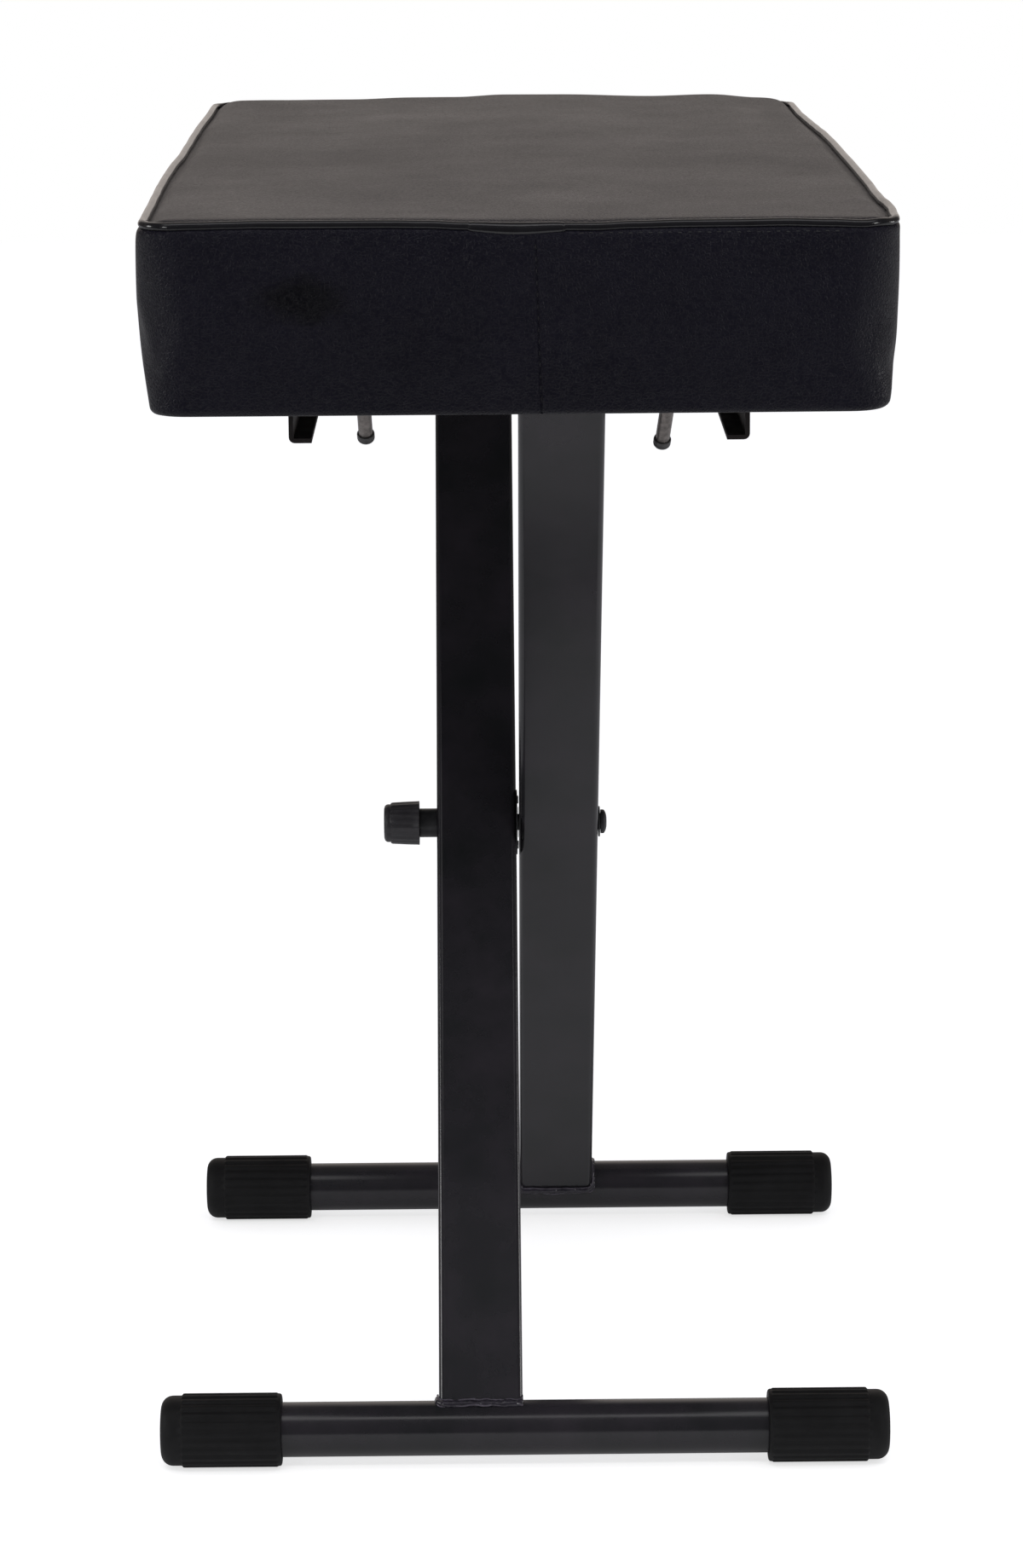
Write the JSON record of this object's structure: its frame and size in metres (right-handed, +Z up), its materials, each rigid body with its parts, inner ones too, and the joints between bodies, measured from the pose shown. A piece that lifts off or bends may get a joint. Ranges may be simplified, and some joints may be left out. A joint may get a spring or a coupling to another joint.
{
  "type": "folding keyboard bench",
  "caption": "Padded folding bench on crossed steel legs with a pull-knob pivot lock, rubber-capped feet, slide rails and a hinge under the seat.",
  "frame": {"origin": "on the floor, below the middle of the seat", "axes": "+Z up, +Y along the seat from the slide-rail end to the hinge end, +X across the bench from the knob side to the pivot bolt side"},
  "size_m": [0.338, 0.6112, 0.6],
  "materials": {
    "frame_enamel": "gloss black enamel on steel tube",
    "foot_rubber": "matte moulded rubber",
    "zinc_steel": "zinc-plated steel",
    "black_steel": "satin black steel",
    "bar_steel": "drawn grey steel rod",
    "tip_vinyl": "dipped vinyl",
    "glide_nylon": "natural nylon",
    "knob_plastic": "moulded black plastic, satin",
    "spring_steel": "bright spring wire",
    "seat_vinyl": "grained black upholstery vinyl, satin",
    "welt_vinyl": "smooth black vinyl piping, glossy",
    "foam": "polyurethane foam",
    "plywood": "raw plywood",
    "dust_cloth": "black non-woven cloth"
  },
  "bodies": {
    "leg_a": {"left_leg_tube": "frame_enamel", "near_foot_tube": "frame_enamel", "near_foot_cap_left": "foot_rubber", "near_foot_cap_right": "foot_rubber", "far_top_tube": "frame_enamel", "hinge_pin_left": "zinc_steel", "hinge_pin_right": "zinc_steel", "left_lock_plate": "black_steel", "knob_barrel": "black_steel", "pivot_bolt": "black_steel", "pivot_nut": "zinc_steel", "pivot_spacer": "zinc_steel", "head_washer": "black_steel", "lock_spring": "spring_steel"},
    "leg_b": {"right_leg_tube": "frame_enamel", "pivot_sleeve": "zinc_steel", "right_lock_plate": "black_steel", "far_foot_tube": "frame_enamel", "far_foot_cap_left": "foot_rubber", "far_foot_cap_right": "foot_rubber", "near_top_tube": "frame_enamel", "slide_glide_left": "glide_nylon", "slide_glide_right": "glide_nylon", "left_peg": "bar_steel", "left_peg_cap": "tip_vinyl", "right_peg": "bar_steel", "right_peg_cap": "tip_vinyl"},
    "knob": {"knob_grip": "knob_plastic", "knob_stem": "zinc_steel", "dog_plate": "zinc_steel", "lock_pin_upper": "zinc_steel", "lock_pin_lower": "zinc_steel"},
    "seat": {"seat_cover": "seat_vinyl", "seat_foam": "foam", "seat_welt": "welt_vinyl", "seat_board": "plywood", "dust_cover": "dust_cloth", "slide_rail_left": "black_steel", "slide_rail_right": "black_steel", "hinge_bracket_left": "black_steel", "hinge_bracket_right": "black_steel", "rail_bolt_left_near": "zinc_steel", "rail_bolt_left_far": "zinc_steel", "rail_bolt_right_near": "zinc_steel", "rail_bolt_right_far": "zinc_steel", "hinge_bolt_left_near": "zinc_steel", "hinge_bolt_left_far": "zinc_steel", "hinge_bolt_right_near": "zinc_steel", "hinge_bolt_right_far": "zinc_steel", "rail_tee_nut_left_near": "zinc_steel", "rail_tee_nut_left_far": "zinc_steel", "rail_tee_nut_right_near": "zinc_steel", "rail_tee_nut_right_far": "zinc_steel", "hinge_tee_nut_left_near": "zinc_steel", "hinge_tee_nut_left_far": "zinc_steel", "hinge_tee_nut_right_near": "zinc_steel", "hinge_tee_nut_right_far": "zinc_steel"}
  },
  "joints": [
    {"name": "fold", "type": "hinge", "parent": "leg_a", "child": "leg_b", "pos_m": [0, 0.06, 0.26318], "axis": [1, 0, 0], "range_deg": [0, 103.3]},
    {"name": "seat_tilt", "type": "hinge", "parent": "leg_a", "child": "seat", "pos_m": [0, 0.24, 0.5092], "axis": [1, 0, 0], "range_deg": [0, 51.66]},
    {"name": "knob_pull", "type": "slide", "parent": "leg_a", "child": "knob", "axis": [-1, 0, 0], "range_m": [0, 0.006], "stiffness_N_per_m": 800, "springref_m": -0.004, "deforming": ["lock_spring"]}
  ],
  "couplings": [
    {"joint": "seat_tilt", "follows": "fold", "ratio": 0.5}
  ]
}
